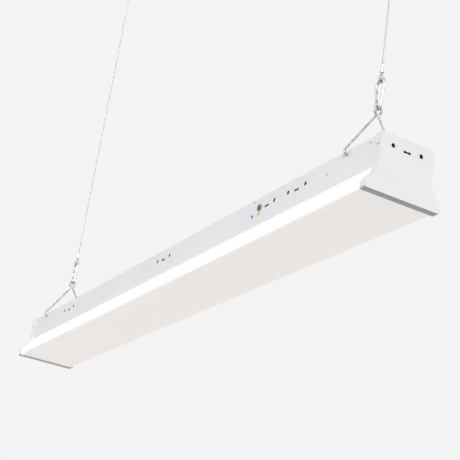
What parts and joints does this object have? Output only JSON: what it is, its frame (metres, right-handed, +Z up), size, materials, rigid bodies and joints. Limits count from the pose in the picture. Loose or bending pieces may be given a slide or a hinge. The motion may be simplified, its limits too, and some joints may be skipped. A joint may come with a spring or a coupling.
{
  "type": "hanging shop light",
  "caption": "Long white shop light with a flared frosted lens and pressed end caps, hung level from ceiling plates on steel cables, snap hooks and bent-wire V hangers.",
  "frame": {"origin": "on the ceiling, midway between the two ceiling plates", "axes": "+Z up, +X along the light towards the end with the inlet bushing, Y across the light; the near side with the service holes faces -Y"},
  "size_m": [1.2192, 0.1172, 0.924],
  "materials": {
    "white_enamel": "smooth powder coat, satin",
    "reflector_white": "smooth powder coat, matte",
    "frosted_lens": "frosted acrylic, lightly translucent",
    "galvanised_wire": "zinc-plated wire, dull",
    "hook_steel": "nickel-plated, satin",
    "cable_steel": "stranded galvanised cable",
    "ferrule_metal": "pressed sleeve, dull",
    "plate_zinc": "zinc-plated sheet",
    "screw_zinc": "zinc-plated",
    "board_white": "white solder mask",
    "package_phosphor": "clear cover over phosphor",
    "driver_case": "plain sheet case, filled",
    "terminal_plastic": "moulded",
    "bushing_plastic": "moulded",
    "lead_black": "smooth insulation",
    "lead_white": "smooth insulation",
    "lead_green": "smooth insulation",
    "lead_red": "smooth insulation",
    "lead_blue": "smooth insulation",
    "marker_blue": "printed label stock",
    "marker_yellow": "printed label stock"
  },
  "bodies": {
    "ceiling": {"ceiling_plate_left": "plate_zinc", "ceiling_plate_right": "plate_zinc"},
    "light": {"housing_channel": "white_enamel", "end_cap_left": "white_enamel", "end_cap_right": "white_enamel", "gear_tray": "reflector_white", "lens": "frosted_lens", "cap_screws_left": "screw_zinc", "cap_screws_right": "screw_zinc", "tray_screws": "screw_zinc", "light_board_front": "board_white", "light_board_rear": "board_white", "led_packages_front": "package_phosphor", "led_packages_rear": "package_phosphor", "board_screws": "screw_zinc", "driver": "driver_case", "driver_screws": "screw_zinc", "terminal_block": "terminal_plastic", "ground_screw": "lead_green", "live_lead": "lead_black", "neutral_lead": "lead_white", "ground_lead": "lead_green", "front_board_lead": "lead_red", "rear_board_lead": "lead_blue", "inlet_bushing": "bushing_plastic", "blue_marker": "marker_blue", "yellow_marker": "marker_yellow", "v_hanger_left": "galvanised_wire", "v_hanger_right": "galvanised_wire"},
    "left link": {"ceiling_link_left": "galvanised_wire"},
    "left line": {"upper_cable_loop_left": "cable_steel", "upper_ferrule_left": "ferrule_metal", "cable_left": "cable_steel", "lower_ferrule_left": "ferrule_metal", "lower_cable_loop_left": "cable_steel"},
    "left hook": {"snap_hook_left": "hook_steel", "gate_pin_left": "screw_zinc"},
    "left gate": {"snap_gate_left": "hook_steel"},
    "right link": {"ceiling_link_right": "galvanised_wire"},
    "right line": {"upper_cable_loop_right": "cable_steel", "upper_ferrule_right": "ferrule_metal", "cable_right": "cable_steel", "lower_ferrule_right": "ferrule_metal", "lower_cable_loop_right": "cable_steel"},
    "right hook": {"snap_hook_right": "hook_steel", "gate_pin_right": "screw_zinc"},
    "right gate": {"snap_gate_right": "hook_steel"}
  },
  "joints": [
    {"name": "left sideways swing", "type": "hinge", "parent": "ceiling", "child": "left link", "pos_m": [-0.5334, 0, -0.0155], "axis": [1, 0, 0], "range_deg": [-25, 25]},
    {"name": "left lengthwise swing", "type": "hinge", "parent": "left link", "child": "left line", "pos_m": [-0.5334, 0, -0.0334], "axis": [0, 1, 0], "range_deg": [-20, 20]},
    {"name": "left hook swing", "type": "hinge", "parent": "left line", "child": "left hook", "pos_m": [-0.5334, 0, -0.7241], "axis": [0, 1, 0], "range_deg": [-20, 20]},
    {"name": "left gate", "type": "hinge", "parent": "left hook", "child": "left gate", "pos_m": [-0.53954, 0, -0.75358], "axis": [0, 1, 0], "range_deg": [0, 25], "stiffness_Nm_per_rad": 0.02, "springref_deg": -11.46},
    {"name": "right sideways swing", "type": "hinge", "parent": "ceiling", "child": "right link", "pos_m": [0.5334, 0, -0.0155], "axis": [1, 0, 0], "range_deg": [-25, 25]},
    {"name": "right lengthwise swing", "type": "hinge", "parent": "right link", "child": "right line", "pos_m": [0.5334, 0, -0.0334], "axis": [0, 1, 0], "range_deg": [-20, 20]},
    {"name": "right hook swing", "type": "hinge", "parent": "right line", "child": "right hook", "pos_m": [0.5334, 0, -0.7241], "axis": [0, 1, 0], "range_deg": [-20, 20]},
    {"name": "right gate", "type": "hinge", "parent": "right hook", "child": "right gate", "pos_m": [0.52726, 0, -0.75358], "axis": [0, 1, 0], "range_deg": [0, 25], "stiffness_Nm_per_rad": 0.02, "springref_deg": -11.46},
    {"name": "light roll", "type": "hinge", "parent": "left hook", "child": "light", "pos_m": [-0.5334, 0, -0.7657], "axis": [1, 0, 0], "range_deg": [-25, 25]}
  ],
  "couplings": [
    {"joint": "right sideways swing", "follows": "left sideways swing", "ratio": 1},
    {"joint": "right lengthwise swing", "follows": "left lengthwise swing", "ratio": 1},
    {"joint": "left hook swing", "follows": "left lengthwise swing", "ratio": -1},
    {"joint": "right hook swing", "follows": "left lengthwise swing", "ratio": -1}
  ]
}
